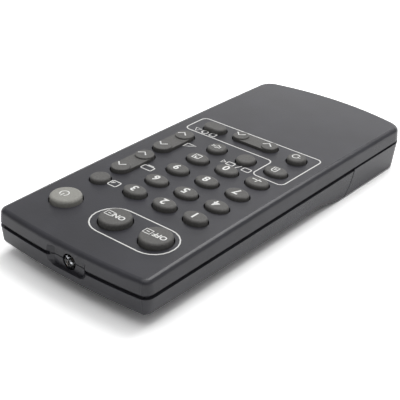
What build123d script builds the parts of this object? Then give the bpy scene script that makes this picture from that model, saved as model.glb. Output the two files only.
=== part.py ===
from build123d import *
import math
import os

# Television remote control handset.
# Millimetres, +Z up, standing on its battery bulge and two front ridges.
# +Y points to the infrared emitter end, +X to the user's right.
# The origin is under the middle of the handset, on the surface it lies on.

# Case, overall
WIDTH = 62.0            # across the long sides at the parting line
LENGTH = 144.0          # over the two bowed ends
TOP_RISE = 6.0          # parting line to the crown of the top
CROWN_DROP = 0.85       # how much lower the top is at both ends
BULGE_DEPTH = 10.6      # parting line to the underside of the battery bulge
EMITTER_DEPTH = 6.4     # parting line to the underside at the emitter end
MIDDLE_DEPTH = 8.0      # parting line to the underside just before the bulge
EMITTER_BOW = 1.8       # how far the emitter end curves out
HAND_BOW = 4.8          # how far the hand end curves out
EMITTER_CORNER = 3.2    # plan radius of the emitter end corners
HAND_CORNER = 6.3       # plan radius of the hand end corners
LEAST_CORNER = 0.5      # inner corners are never sharper than this
UPPER_DRAFT = 5.0       # degrees the upper walls lean in
LOWER_DRAFT = 6.0       # degrees the lower walls lean in
WALL = 1.8              # moulded wall
TOP_EDGE = 1.6          # rounding of the upper edge
BOTTOM_EDGE = 1.2       # rounding of the lower edge
BULGE_FROM_HAND = 43.5  # where the bulge is full depth, from the hand end
RAMP_LENGTH = 10.5      # length of the slope into the bulge
RAMP_BLEND = 25.0       # radius at both ends of that slope

# Joint between the two halves
GROOVE = 1.4            # open shadow line round the handset
COVER_GROOVE = 0.95     # the same line over the battery cover
TONGUE_INSET = 1.1      # outer face of the locating tongue from the outer wall
TONGUE_HEIGHT = 3.0     # tongue above the lower edge of the groove
FIT_GAP = 0.1           # between parts moulded to fit
CLIP_LENGTH = 8.0       # snap ridge on the tongue
CLIP_PROUD = 0.35
CLIP_HEIGHT = 0.6

# Front ridges that hold the emitter end level
RIDGE_FROM_EMITTER = 16.0
RIDGE_OFFSET = 16.0
RIDGE_LENGTH = 12.0
RIDGE_WIDTH = 2.6
RIDGE_ROUND = 1.0

# Emitter recess and lamp
RECESS_WIDTH = 16.8     # at the end face
RECESS_HEIGHT = 6.8
RECESS_DEPTH = 1.6
RECESS_LEAN = 2.4       # how far each flank leans in from face to floor
RECESS_ROUND = 1.0
RECESS_WALL = 1.6
RECESS_SLIT = 0.3       # parting line across the recess floor
LAMP_X = -0.8           # recess and lamp stand this far off the middle
LAMP_RADIUS = 2.5
LAMP_LENGTH = 8.6
LAMP_FLANGE_RADIUS = 2.9
LAMP_FLANGE = 1.0
LAMP_BEHIND_FACE = 0.6  # dome tip behind the end face
LAMP_GAP = 0.12
LEAD_SIZE = 0.5
LEAD_PITCH = 2.54
LEAD_LENGTH = 5.5

# Circuit board and keypad sheet
BOARD_TOP = 1.3         # above the parting line
BOARD_THICK = 1.6
BOARD_EDGE_GAP = 1.2    # board edge to the inside wall
BOARD_TO_LAMP = 0.4
BOARD_TO_BAY = 1.0
PAD_THICK = 0.1         # printed carbon pad
WEB_THICK = 1.0         # silicone sheet
WEB_EDGE_GAP = 1.9
ROOT_RIM_HEIGHT = 0.5   # raised root round each key opening
ROOT_RIM_WIDTH = 0.5
ROOT_GAP = 0.35         # key flange to the sheet
PEG_RADIUS = 0.9
PEG_GAP = 0.15
POST_RADIUS = 2.2
PEG_TO_CONTACT = 0.35   # post to the contact strip beside it
PEG_FROM_END = 3.6
BOARD_CORNER = 2.0
HOLD_RIB_WIDTH = 1.0
CUT_PAST = 1.0          # how far a cutter runs past what it cuts

# Keys
KEY_TRAVEL = 0.9
CONTACT_SLACK = 0.05    # pill to pad with the key fully down
KEY_GAP = 0.45          # key to the edge of its hole
FLANGE_PROUD = 0.8      # flange that keeps a key in the case
FLANGE_THICK = 0.7
PILL_THICK = 0.3
PILL_RADIUS = 1.5
KEY_EDGE = 0.75
ROCKER_EDGE = 0.35

OVAL_LENGTH = 8.2       # across the handset
OVAL_WIDTH = 6.0
OVAL_HEIGHT = 1.25      # above the case
TOP_ROW_HEIGHT = 1.65   # ovals of the row nearest the emitter
COLUMN_MARGIN = 12.55   # case side to the outer columns, pitch to pitch
FIELD_TO_SEAM = 15.47   # last row to the cover seam
FIELD_ROWS = 9.0        # rows from the emitter end to the last row

ROUND_DIAMETER = 6.6
ROUND_HEIGHT = 1.3
POWER_DIAMETER = 10.2
POWER_HEIGHT = 1.8
POWER_EDGE = 1.0
TEXT_DIAMETER = 10.3
TEXT_HEIGHT = 1.85
LOW_ROW_HEIGHT = 1.6    # keys of the row nearest the hand

ROCKER_LENGTH = 17.9
ROCKER_WIDTH = 6.6
PAGE_ROCKER_WIDTH = 5.7
ROCKER_HEIGHT = 1.3
ROCKER_SCOOP = 0.5      # the middle lies lower than the two end pads
ROCKER_FLANGE = 10.0
ROCKER_PILL_OFFSET = 5.5
MODE_LENGTH = 8.7
MODE_WIDTH = 5.4

# Battery bay and cover
SEAM_FROM_HAND = 37.0   # cover seam at the parting line, from the hand end
SEAM_LEAN = 4.0         # how far the seam leans to the emitter at the bottom
SEAM_GAP = 0.45
COVER_WALL = 1.6
CELL_RADIUS = 5.25
CELL_LENGTH = 44.5
NUB_RADIUS = 1.9
NUB_LENGTH = 0.8
CELL_GAP = 0.3
CONTACT_ROOM = 2.6      # between the cell's end and the bay's end wall
BAY_WALL = 1.3
BAY_ROOF = 1.0
BAY_LIFT = 0.3          # cells above the cover's inside
STRIP_THICK = 0.3       # sheet metal of the contacts
STRIP_WIDTH = 7.0
PLATE_HEIGHT = 5.2
TAIL_WIDTH = 1.8
TAIL_LIFT = 0.55        # lower tail above the bay's open side
TAIL_UNDER_BOARD = 1.5
TAIL_SLOT_GAP = 0.3
CONTACT_GAP = 0.05      # strip to the end of a cell
RAIL_DROP = 2.2         # cover rail below the parting line
RAIL_THICK = 1.0
RAIL_DEPTH = 1.9
RAIL_GAP = 0.2
RAIL_LENGTH = 18.0
LIP_DROP = 1.0          # upper case lip behind the cover's edge
LIP_GAP = 0.25
GRIP_COUNT = 6
GRIP_PITCH = 2.2
GRIP_WIDTH = 1.0
GRIP_DEPTH = 0.4
GRIP_LENGTH = 22.0
GRIP_FROM_HAND = 14.0
TAB_WIDTH = 12.0        # tab at the cover's front edge
TAB_REACH = 2.0         # past the foot of the seam
TAB_THICK = 0.7
TAB_GAP = 0.25
RAIL_FROM_SEAM = 1.7

# Case screws
SCREW_OFFSET = 19.0
SCREW_FROM_HAND = 10.5
SCREW_RADIUS = 0.95
SCREW_LENGTH = 6.0
SCREW_HEAD_RADIUS = 1.9
SCREW_HEAD = 1.4
SCREW_SLACK = 0.05
CROSS_WIDTH = 0.6
CROSS_DEPTH = 0.8
BOSS_RADIUS = 2.6
LUG_THICK = 1.2
LUG_DROP = 3.0          # boss foot below the parting line
LUG_WIDTH = 7.0
LUG_BEYOND = 3.2
LUG_HOLE_GAP = 0.25

# Parts on the board
PAD_RADIUS = 2.0
CHIP_LENGTH = 17.9
CHIP_WIDTH = 7.5
CHIP_HEIGHT = 2.3
CHIP_STANDOFF = 0.1
CHIP_X = -6.0
CHIP_FROM_EMITTER = 52.0
PIN_COUNT = 14
PIN_PITCH = 1.27
PIN_WIDTH = 0.4
PIN_REACH = 1.4
CAPACITOR_RADIUS = 2.0
CAPACITOR_LENGTH = 7.0
CAPACITOR_X = 8.0
CAPACITOR_FROM_EMITTER = 80.0
CAPACITOR_LEAD = 1.2
RESONATOR_LENGTH = 7.4
RESONATOR_WIDTH = 3.2
RESONATOR_HEIGHT = 3.4
RESONATOR_X = 12.0
TRANSISTOR_RADIUS = 2.3
TRANSISTOR_LENGTH = 4.2
TRANSISTOR_FLAT = 1.2
TRANSISTOR_X = 6.0
TRANSISTOR_FROM_EMITTER = 26.0
LEG_PITCH = 1.27
LEG_REACH = 2.4
RESISTOR_LENGTH = 2.0
RESISTOR_WIDTH = 1.25
RESISTOR_HEIGHT = 0.5
RESISTOR_COUNT = 6
RESISTOR_PITCH = 4.0
RESISTOR_FROM_EMITTER = 64.0

# Places worked out from the sizes above
EMITTER_END = LENGTH / 2
HAND_END = -LENGTH / 2
PARTING = BULGE_DEPTH
BOARD_Z = PARTING + BOARD_TOP
WEB_Z = BOARD_Z + WEB_THICK
PILL_Z = BOARD_Z + PAD_THICK + CONTACT_SLACK + KEY_TRAVEL
FLANGE_Z = PILL_Z + PILL_THICK
BOARD_UNDER = BOARD_Z - BOARD_THICK
SEAM_Y = HAND_END + SEAM_FROM_HAND
BULKHEAD_Y = SEAM_Y + SEAM_LEAN - BAY_WALL
LAMP_TIP_Y = EMITTER_END - LAMP_BEHIND_FACE
LAMP_BASE_Y = LAMP_TIP_Y - LAMP_LENGTH
LAMP_Z = BOARD_UNDER - LEAD_SIZE / 2
BOARD_FRONT = LAMP_BASE_Y - BOARD_TO_LAMP
BOARD_BACK = BULKHEAD_Y + BAY_WALL + BOARD_TO_BAY
BOARD_HALF = WIDTH / 2 - WALL - BOARD_EDGE_GAP
WEB_HALF = WIDTH / 2 - WALL - WEB_EDGE_GAP
CELL_Z = COVER_WALL + BAY_LIFT + CELL_RADIUS
CELL_A_Y = BULKHEAD_Y - CELL_GAP - CELL_RADIUS
CELL_B_Y = CELL_A_Y - 2 * CELL_RADIUS - CELL_GAP
BAY_HALF = CELL_LENGTH / 2 + CONTACT_ROOM
PEG_X = BAY_HALF - STRIP_THICK - PEG_TO_CONTACT - POST_RADIUS
COLUMN_PITCH = (WIDTH - 2 * COLUMN_MARGIN) / 3
ROW_PITCH = (LENGTH - SEAM_FROM_HAND - FIELD_TO_SEAM) / FIELD_ROWS
RECESS_CORE = (RECESS_WIDTH - RECESS_LEAN) / 2
BAY_END_Y = CELL_B_Y - CELL_RADIUS - CELL_GAP
ROOF_Z = CELL_Z + CELL_RADIUS + CELL_GAP
CELL_SHIFT = CONTACT_ROOM - STRIP_THICK - CONTACT_GAP
SCREW_Y = HAND_END + SCREW_FROM_HAND
LUG_TOP = PARTING - LUG_DROP
RAIL_TOP = PARTING - RAIL_DROP
FAR = 200.0


def box(low, high):
    """A block between two corners."""
    size = [b - a for a, b in zip(low, high)]
    middle = [(a + b) / 2 for a, b in zip(low, high)]
    return Pos(*middle) * Box(*size)


def rod(radius, start, end):
    """A round bar from one point to another."""
    path = Vector(*end) - Vector(*start)
    plane = Plane(origin=start, z_dir=path)
    return extrude(plane * Circle(radius), amount=path.length)


def upright(face, low, high):
    """A plan outline carried from one height to another."""
    return extrude(Pos(0, 0, low) * face, amount=high - low)


def slab(y_low, y_high, z_low, z_high):
    """A block right across the handset."""
    return box((-FAR, y_low, z_low), (FAR, y_high, z_high))


def crown(y):
    """Height of the case top above the parting line at y."""
    return TOP_RISE - CROWN_DROP * (y / (LENGTH / 2)) ** 2


def plan(inset):
    """Plan outline of the case, drawn inside its outer line by inset."""
    half = WIDTH / 2 - inset
    front_bow = EMITTER_BOW * (half / (WIDTH / 2)) ** 2
    back_bow = HAND_BOW * (half / (WIDTH / 2)) ** 2
    front, back = EMITTER_END - inset, HAND_END + inset
    right = Line((half, back + back_bow), (half, front - front_bow))
    left = Line((-half, front - front_bow), (-half, back + back_bow))
    top = ThreePointArc(right @ 1, (0, front), left @ 0)
    bottom = ThreePointArc(left @ 1, (0, back), right @ 0)
    face = make_face([right, top, left, bottom])
    front_round = max(EMITTER_CORNER - inset, LEAST_CORNER)
    back_round = max(HAND_CORNER - inset, LEAST_CORNER)
    face = fillet(face.vertices().sort_by(Axis.Y)[2:], front_round)
    return fillet(face.vertices().sort_by(Axis.Y)[:2], back_round)


def ring(outer, inner, low, high):
    """Upright wall between two insets of the plan."""
    return upright(plan(outer) - plan(inner), low, high)


def across(face):
    """A side view, drawn in Y and Z, carried right across the handset."""
    return extrude(Plane.YZ * face, amount=FAR, both=True)


def under_crown(inset):
    """Everything below the crowned top, lowered by inset."""
    reach = LENGTH / 2 + 2 * WALL
    low = PARTING + crown(reach) - inset
    arc = ThreePointArc((-reach, low), (0, PARTING + TOP_RISE - inset), (reach, low))
    rest = Polyline((reach, low), (reach, -FAR), (-reach, -FAR), (-reach, low))
    return across(make_face([arc, rest]))


def above_underside(inset):
    """Everything above the stepped underside, raised by inset."""
    bulge = HAND_END + BULGE_FROM_HAND
    ramp = bulge + RAMP_LENGTH
    fall = (MIDDLE_DEPTH - EMITTER_DEPTH) / (EMITTER_END - ramp)
    reach = 2 * WALL
    points = [
        (EMITTER_END + reach, PARTING - EMITTER_DEPTH + inset + fall * reach),
        (ramp, PARTING - MIDDLE_DEPTH + inset),
        (bulge, inset),
        (HAND_END - reach, inset),
        (HAND_END - reach, FAR),
        (EMITTER_END + reach, FAR),
    ]
    face = make_face(Polyline(*points, close=True))
    bends = [v for v in face.vertices() if bulge - 1 < v.X < ramp + 1]
    return across(fillet(bends, RAMP_BLEND))


def upper_form(inset):
    """Solid form of the upper half, smaller by inset all over."""
    walls = extrude(plan(inset), amount=2 * TOP_RISE, taper=UPPER_DRAFT)
    return Pos(0, 0, PARTING) * walls & under_crown(inset)


def lower_form(inset):
    """Solid form of the lower half with the cover, smaller by inset all over."""
    walls = extrude(plan(inset), amount=BULGE_DEPTH + WALL, taper=LOWER_DRAFT)
    return Pos(0, 0, PARTING) * mirror(walls, about=Plane.XY) & above_underside(inset)


def rounded_upper_form():
    """The upper form with its upper edge rounded."""
    form = upper_form(0)
    rim = [e for e in form.edges() if e.bounding_box().min.Z > PARTING + TOP_RISE / 2]
    return fillet(rim, TOP_EDGE)


def rounded_lower_form():
    """The lower form with its lower edge rounded."""
    form = lower_form(0)
    rim = []
    for edge in form.edges():
        extent = edge.bounding_box()
        crosswise = edge.geom_type == GeomType.LINE and extent.min.X < 0 < extent.max.X
        if extent.max.Z < PARTING - EMITTER_DEPTH / 2 and not crosswise:
            rim.append(edge)
    return fillet(rim, BOTTOM_EDGE)


def hand_side(shift):
    """Everything on the hand side of the cover seam, moved along by shift."""
    top = (SEAM_Y + shift, PARTING)
    lean = 2 * math.atan(SEAM_LEAN / BULGE_DEPTH)
    radius = BULGE_DEPTH / math.sin(lean)
    middle = (
        top[0] + radius * (1 - math.cos(lean / 2)),
        PARTING - radius * math.sin(lean / 2),
    )
    foot = (top[0] + SEAM_LEAN, 0.0)
    below = (foot[0] + SEAM_LEAN, -FAR)
    arc = ThreePointArc(top, middle, foot)
    rest = Polyline(foot, below, (-FAR, -FAR), (-FAR, FAR), (top[0], FAR), top)
    return across(make_face([arc, rest]))


def recess(grow):
    """The emitter recess with leaning flanks, larger by grow on its sides and floor."""
    outlines = []
    for depth in (RECESS_DEPTH, -RECESS_DEPTH):
        lean = RECESS_LEAN * depth / RECESS_DEPTH
        width = RECESS_WIDTH + 2 * grow - 2 * lean
        face = RectangleRounded(width, RECESS_HEIGHT + 2 * grow, RECESS_ROUND + grow)
        y = EMITTER_END - depth - grow
        plane = Plane(origin=(LAMP_X, y, PARTING), x_dir=(1, 0, 0), z_dir=(0, 1, 0))
        outlines.append(plane * face)
    return loft(outlines, ruled=True)


def lamp_hole():
    """Hole through the recess floor for the lamp."""
    start = (LAMP_X, LAMP_BASE_Y + LAMP_FLANGE + LAMP_GAP, LAMP_Z)
    return rod(LAMP_RADIUS + LAMP_GAP, start, (LAMP_X, EMITTER_END, LAMP_Z))


def recess_core(grow, z_low, z_high):
    """The layer behind the middle of the recess, where the two halves meet flat."""
    half = RECESS_CORE + grow
    back = EMITTER_END - RECESS_DEPTH - RECESS_WALL - WALL
    return box((LAMP_X - half, back, z_low), (LAMP_X + half, FAR, z_high))


def beside_recess(z_low, z_high):
    """The layer between two heights, all but the middle of the recess."""
    return slab(-FAR, FAR, z_low, z_high) - recess_core(0, z_low, z_high)


def clips(proud, gap):
    """Snap ridges on the tongue or, with a gap, the pockets that they fall into."""
    inner = WIDTH / 2 - WALL + FIT_GAP
    outer = WIDTH / 2 - TONGUE_INSET + proud
    middle = PARTING + TONGUE_HEIGHT / 2
    half_height = CLIP_HEIGHT / 2 + gap
    half_length = CLIP_LENGTH / 2 + gap
    blocks = []
    for y in (EMITTER_END / 2, 0.0):
        for ends in ((-outer, -inner), (inner, outer)):
            low = (ends[0], y - half_length, middle - half_height)
            high = (ends[1], y + half_length, middle + half_height)
            blocks.append(box(low, high))
    return blocks


# Keys: each has an outline, a centre and a height above the case
class Key:
    """One key, whose outline can be drawn wider for its hole and its flange."""

    def __init__(self, name, column, row, size, height, edge=KEY_EDGE, rocks=None):
        self.name = name
        self.x = COLUMN_PITCH * column
        self.y = EMITTER_END - ROW_PITCH * row
        self.size = size
        self.height = height
        self.edge = edge
        self.rocks = rocks

    def outline(self, grow=0.0):
        """Flat outline of the key, wider by grow on every side."""
        length, width = self.size[0] + 2 * grow, self.size[1] + 2 * grow
        if self.size[0] == self.size[1]:
            face = Circle(length / 2)
        elif self.size == (OVAL_LENGTH, OVAL_WIDTH):
            face = Ellipse(length / 2, width / 2)
        elif length > width:
            face = SlotOverall(length, width)
        else:
            face = SlotOverall(width, length, rotation=90)
        return Pos(self.x, self.y) * face

    def flange(self, grow=0.0):
        """Flange outline; a rocker's flange stands out at its long sides only."""
        if not self.rocks:
            return self.outline(FLANGE_PROUD + grow)
        long = ROCKER_FLANGE + 2 * grow
        wide = min(self.size) + 2 * (FLANGE_PROUD + grow)
        size = (long, wide) if self.rocks == "x" else (wide, long)
        return Pos(self.x, self.y) * Rectangle(*size)

    def opening(self, grow=0.0):
        """Opening in the keypad sheet, which clears the key and its flange."""
        return self.flange(ROOT_GAP + grow) + self.outline(ROOT_GAP + grow)

    def along(self, distance):
        """The two points at a distance either side of the centre of a rocker."""
        step = (distance, 0) if self.rocks == "x" else (0, distance)
        return [(self.x + s * step[0], self.y + s * step[1]) for s in (-1, 1)]

    def pills(self):
        """Centres of the carbon pills."""
        return self.along(ROCKER_PILL_OFFSET) if self.rocks else [(self.x, self.y)]

    def top(self):
        """Height of the key's top."""
        return PARTING + crown(self.y) + self.height


def lay_out_keys():
    """All the keys; places are in columns from the middle and rows from the emitter end."""
    oval = (OVAL_LENGTH, OVAL_WIDTH)
    small = (ROUND_DIAMETER, ROUND_DIAMETER)
    text = (TEXT_DIAMETER, TEXT_DIAMETER)
    power = (POWER_DIAMETER, POWER_DIAMETER)
    tall = (ROCKER_WIDTH, ROCKER_LENGTH)
    wide = (ROCKER_LENGTH, PAGE_ROCKER_WIDTH)
    keys = [
        Key("key_power", 1.528, 1.898, power, POWER_HEIGHT, POWER_EDGE),
        Key("key_text_on", -0.146, 1.947, text, TEXT_HEIGHT),
        Key("key_text_off", -1.463, 1.947, text, TEXT_HEIGHT),
        Key("key_picture", 1.610, 3.471, small, ROUND_HEIGHT),
        Key("rocker_channel", 1.610, 4.966, tall, ROCKER_HEIGHT, ROCKER_EDGE, "y"),
        Key("rocker_volume", 1.610, 6.971, tall, ROCKER_HEIGHT, ROCKER_EDGE, "y"),
        Key("key_recall", -1.561, 8.702, small, LOW_ROW_HEIGHT),
        Key("rocker_page", -0.081, 8.820, wide, ROCKER_HEIGHT, ROCKER_EDGE, "x"),
        Key("key_mode", 1.293, 8.722, (MODE_LENGTH, MODE_WIDTH), LOW_ROW_HEIGHT),
    ]
    left_column, first_row = -1.569, 3.530
    rows = [
        ("key_1", "key_2", "key_3"),
        ("key_4", "key_5", "key_6"),
        ("key_7", "key_8", "key_9"),
        ("key_two_digit", "key_0", "key_reveal"),
        ("key_sub_page", "key_input", "key_mute"),
    ]
    for row, names in enumerate(rows):
        for column, name in enumerate(names):
            size, height = oval, OVAL_HEIGHT if row else TOP_ROW_HEIGHT
            if name in ("key_input", "key_mute"):
                size, height = small, ROUND_HEIGHT
            keys.append(Key(name, left_column + column, first_row + row, size, height))
    return keys


KEYS = lay_out_keys()


def make_key(key):
    """A rubber key with its flange, and the carbon pill or pills under it."""
    height = key.top() - FLANGE_Z
    if key.rocks:
        body = upright(key.outline(), FLANGE_Z, key.top() - ROCKER_SCOOP)
        reach = (max(key.size) - min(key.size)) / 2
        for x, y in key.along(reach):
            body += Pos(x, y, FLANGE_Z) * extrude(Circle(min(key.size) / 2), amount=height)
    else:
        body = upright(key.outline(), FLANGE_Z, key.top())
    rim = [e for e in body.edges() if e.bounding_box().min.Z > key.top() - CONTACT_SLACK]
    body = fillet(rim, key.edge)
    body += upright(key.flange(), FLANGE_Z, FLANGE_Z + FLANGE_THICK)
    pills = [rod(PILL_RADIUS, (x, y, PILL_Z), (x, y, FLANGE_Z)) for x, y in key.pills()]
    return [body, *pills]


# Upper case
def make_upper_case():
    """Upper shell with its key holes, recess, ribs, screw bosses and rear lip."""
    outside = rounded_upper_form()
    inside = upper_form(WALL)
    groove_top = PARTING + GROOVE / 2
    shell = outside - inside + (recess(RECESS_WALL) & outside)
    shell -= beside_recess(PARTING - WALL, groove_top)
    lap_top = PARTING - GROOVE / 2 + TONGUE_HEIGHT + FIT_GAP
    lap = ring(TONGUE_INSET - FIT_GAP, 2 * WALL, PARTING, lap_top)
    lap &= slab(SEAM_Y - SEAM_GAP, FAR, 0, FAR)
    shell -= lap - recess_core(0, 0, FAR)
    shell -= clips(CLIP_PROUD + FIT_GAP, FIT_GAP)
    lip = ring(TONGUE_INSET + FIT_GAP, WALL + FIT_GAP, PARTING - LIP_DROP, PARTING + GROOVE)
    shell += lip & slab(-FAR, SEAM_Y - SEAM_GAP, 0, FAR)
    for key in KEYS:
        shell -= upright(key.outline(KEY_GAP), PARTING + TOP_RISE / 3, PARTING + 2 * TOP_RISE)
    shell += hold_ribs(inside)
    shell += screw_bosses(inside)
    return shell - recess(0) - lamp_hole()


def hold_ribs(inside):
    """Two long ribs that press the keypad sheet on to the board."""
    ribs = []
    for side in (-1, 1):
        x = side * (WEB_HALF - HOLD_RIB_WIDTH)
        low = (x - HOLD_RIB_WIDTH / 2, BOARD_BACK + 2 * WALL, WEB_Z)
        high = (x + HOLD_RIB_WIDTH / 2, BOARD_FRONT - 2 * WALL, FAR)
        ribs.append(box(low, high) & inside)
    return ribs


def screw_bosses(inside):
    """Two bosses in the battery bay that the case screws bite into."""
    room = inside + slab(-FAR, FAR, 0, PARTING + CONTACT_SLACK)
    depth = SCREW_LENGTH - LUG_THICK + SCREW_SLACK
    bosses = []
    for side in (-1, 1):
        x = side * SCREW_OFFSET
        boss = rod(BOSS_RADIUS, (x, SCREW_Y, LUG_TOP), (x, SCREW_Y, PARTING + TOP_RISE)) & room
        hole = rod(SCREW_RADIUS + SCREW_SLACK, (x, SCREW_Y, 0), (x, SCREW_Y, LUG_TOP + depth))
        bosses.append(boss - hole)
    return bosses


# Lower case with the battery bay
def make_lower_case():
    """Lower shell in front of the seam, its tongue, posts, ridges and battery bay."""
    outside = rounded_lower_form()
    groove_foot = PARTING - GROOVE / 2
    shell = outside - lower_form(WALL) + (recess(RECESS_WALL) & outside)
    shell -= beside_recess(groove_foot, PARTING + WALL)
    shell -= hand_side(0)
    tongue = ring(TONGUE_INSET, WALL, groove_foot - WALL, groove_foot + TONGUE_HEIGHT)
    tongue &= slab(SEAM_Y, FAR, 0, FAR)
    shell -= recess_core(0, PARTING - RECESS_SLIT, PARTING + WALL)
    shell += tongue - recess_core(FIT_GAP, groove_foot, FAR)
    shell += clips(CLIP_PROUD, 0)
    for x, y in peg_centres():
        shell += rod(POST_RADIUS, (x, y, 0), (x, y, BOARD_UNDER)) & lower_form(WALL / 2)
        shell += rod(PEG_RADIUS, (x, y, BOARD_UNDER), (x, y, BOARD_Z - PEG_GAP))
    for side in (-1, 1):
        shell += front_ridge(side)
    shell += battery_bay()
    return shell - recess(0) - lamp_hole() - cover_tab(TAB_GAP)


def cover_tab(gap):
    """Tab that holds the cover's front edge or, with a gap, its pocket."""
    foot = SEAM_Y + SEAM_LEAN
    half = TAB_WIDTH / 2 + gap
    low = (-half, foot - 2 * TAB_REACH, COVER_WALL - TAB_THICK - gap)
    return box(low, (half, foot + TAB_REACH + gap, COVER_WALL + 2 * gap))


def peg_centres():
    """Centres of the four pegs that locate the board."""
    return [
        (side * PEG_X, y)
        for side in (-1, 1)
        for y in (BOARD_FRONT - PEG_FROM_END, BOARD_BACK + PEG_FROM_END)
    ]


def front_ridge(side):
    """A low moulded ridge that holds the emitter end level with the bulge."""
    face = SlotOverall(RIDGE_LENGTH, RIDGE_WIDTH)
    height = PARTING - EMITTER_DEPTH + WALL / 2
    ridge = extrude(face, amount=height)
    ridge = fillet(ridge.edges().group_by(Axis.Z)[0], RIDGE_ROUND)
    return Pos(side * RIDGE_OFFSET, EMITTER_END - RIDGE_FROM_EMITTER, 0) * ridge


def battery_bay():
    """Bulkhead, bay walls and roof, rail ribs and screw lugs, all one moulding."""
    floor = COVER_WALL + BAY_LIFT
    top = ROOF_Z + BAY_ROOF
    front = BULKHEAD_Y + BAY_WALL
    outer = BAY_HALF + BAY_WALL
    back = BAY_END_Y - BAY_WALL
    bulkhead = slab(BULKHEAD_Y, front, 0, PARTING - GROOVE) & lower_form(WALL / 2)
    bay = bulkhead - hand_side(0)
    bay += box((-BOARD_HALF, BULKHEAD_Y, PARTING - WALL), (BOARD_HALF, front, top))
    bay += box((-outer, back, floor), (outer, BULKHEAD_Y, top))
    bay -= box((-BAY_HALF, BAY_END_Y, 0), (BAY_HALF, BULKHEAD_Y, ROOF_Z))
    rib_top = RAIL_TOP - RAIL_THICK - RAIL_GAP
    reach = WIDTH / 2 - COVER_WALL - RAIL_DEPTH + RAIL_THICK
    for side in (-1, 1):
        ends = sorted((side * BAY_HALF, side * reach))
        bay += box((ends[0], back, rib_top - RAIL_THICK), (ends[1], front, rib_top))
        x = side * SCREW_OFFSET
        low = (x - LUG_WIDTH / 2, SCREW_Y - LUG_BEYOND, LUG_TOP - LUG_THICK)
        lug = box(low, (x + LUG_WIDTH / 2, BAY_END_Y, LUG_TOP))
        hole_radius = SCREW_RADIUS + LUG_HOLE_GAP
        bay += lug - rod(hole_radius, (x, SCREW_Y, 0), (x, SCREW_Y, PARTING))
    for low_z, high_z in tail_heights():
        x = BAY_HALF - STRIP_THICK - TAIL_SLOT_GAP
        low = (x, BULKHEAD_Y - CUT_PAST, low_z - TAIL_SLOT_GAP)
        high = (BAY_HALF + TAIL_SLOT_GAP, front + CUT_PAST, high_z + TAIL_SLOT_GAP)
        bay -= box(low, high)
    return bay


# Battery cover
def make_battery_cover():
    """The hand end of the lower half: a cap with rails, a front tab and thumb grooves."""
    cover = rounded_lower_form() & hand_side(-SEAM_GAP)
    cover -= lower_form(COVER_WALL)
    cover_top = PARTING + GROOVE / 2 - COVER_GROOVE
    cover &= slab(-FAR, FAR, -1, cover_top)
    rebate = TONGUE_INSET + FIT_GAP - LIP_GAP
    cover -= ring(rebate, 2 * WALL, PARTING - LIP_DROP - LIP_GAP, FAR)
    start = SEAM_Y - RAIL_FROM_SEAM
    inner = WIDTH / 2 - COVER_WALL - RAIL_DEPTH
    for side in (-1, 1):
        ends = sorted((side * inner, side * WIDTH / 2))
        low = (ends[0], start - RAIL_LENGTH, RAIL_TOP - RAIL_THICK)
        cover += box(low, (ends[1], start, RAIL_TOP)) & lower_form(COVER_WALL / 2)
    cover += cover_tab(0)
    for n in range(GRIP_COUNT):
        y = HAND_END + GRIP_FROM_HAND + n * GRIP_PITCH
        groove = SlotOverall(GRIP_LENGTH, GRIP_WIDTH)
        cover -= Pos(0, y, 0) * extrude(groove, amount=GRIP_DEPTH)
    return cover


# Keypad sheet
def make_keypad_sheet():
    """Silicone sheet on the board, open round every key, with a raised root."""
    back = BOARD_BACK + WALL
    face = Pos(0, (BOARD_FRONT + back) / 2) * RectangleRounded(
        2 * WEB_HALF, BOARD_FRONT - back, BOARD_CORNER
    )
    sheet = upright(face, BOARD_Z, WEB_Z)
    for key in KEYS:
        rim = key.opening(ROOT_RIM_WIDTH) - key.opening()
        sheet += upright(rim, WEB_Z - WEB_THICK / 2, WEB_Z + ROOT_RIM_HEIGHT)
        sheet -= upright(key.opening(), BOARD_Z - CUT_PAST, WEB_Z + CUT_PAST)
    return sheet


# Circuit board and what is soldered to it
def make_circuit_board():
    """Board with four holes for the pegs."""
    middle = (BOARD_FRONT + BOARD_BACK) / 2
    face = RectangleRounded(2 * BOARD_HALF, BOARD_FRONT - BOARD_BACK, BOARD_CORNER)
    face = Pos(0, middle) * face
    for x, y in peg_centres():
        face -= Pos(x, y) * Circle(PEG_RADIUS + PEG_GAP)
    return upright(face, BOARD_UNDER, BOARD_Z)


def make_contact_pads():
    """Printed carbon pads, one under each pill."""
    centres = [centre for key in KEYS for centre in key.pills()]
    return [rod(PAD_RADIUS, (x, y, BOARD_Z), (x, y, BOARD_Z + PAD_THICK)) for x, y in centres]


def make_ir_lamp():
    """Clear 5 mm lamp: flange, barrel and dome, with two square leads under the board."""
    shoulder = LAMP_TIP_Y - LAMP_RADIUS
    base = (LAMP_X, LAMP_BASE_Y, LAMP_Z)
    lamp = rod(LAMP_FLANGE_RADIUS, base, (LAMP_X, LAMP_BASE_Y + LAMP_FLANGE, LAMP_Z))
    lamp += rod(LAMP_RADIUS, base, (LAMP_X, shoulder, LAMP_Z))
    lamp += Pos(LAMP_X, shoulder, LAMP_Z) * Sphere(LAMP_RADIUS)
    for side in (-1, 1):
        x = LAMP_X + side * LEAD_PITCH / 2
        half = LEAD_SIZE / 2
        low = (x - half, LAMP_BASE_Y - LEAD_LENGTH, LAMP_Z - half)
        lamp += box(low, (x + half, LAMP_BASE_Y + LAMP_FLANGE, LAMP_Z + half))
    return lamp


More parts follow.
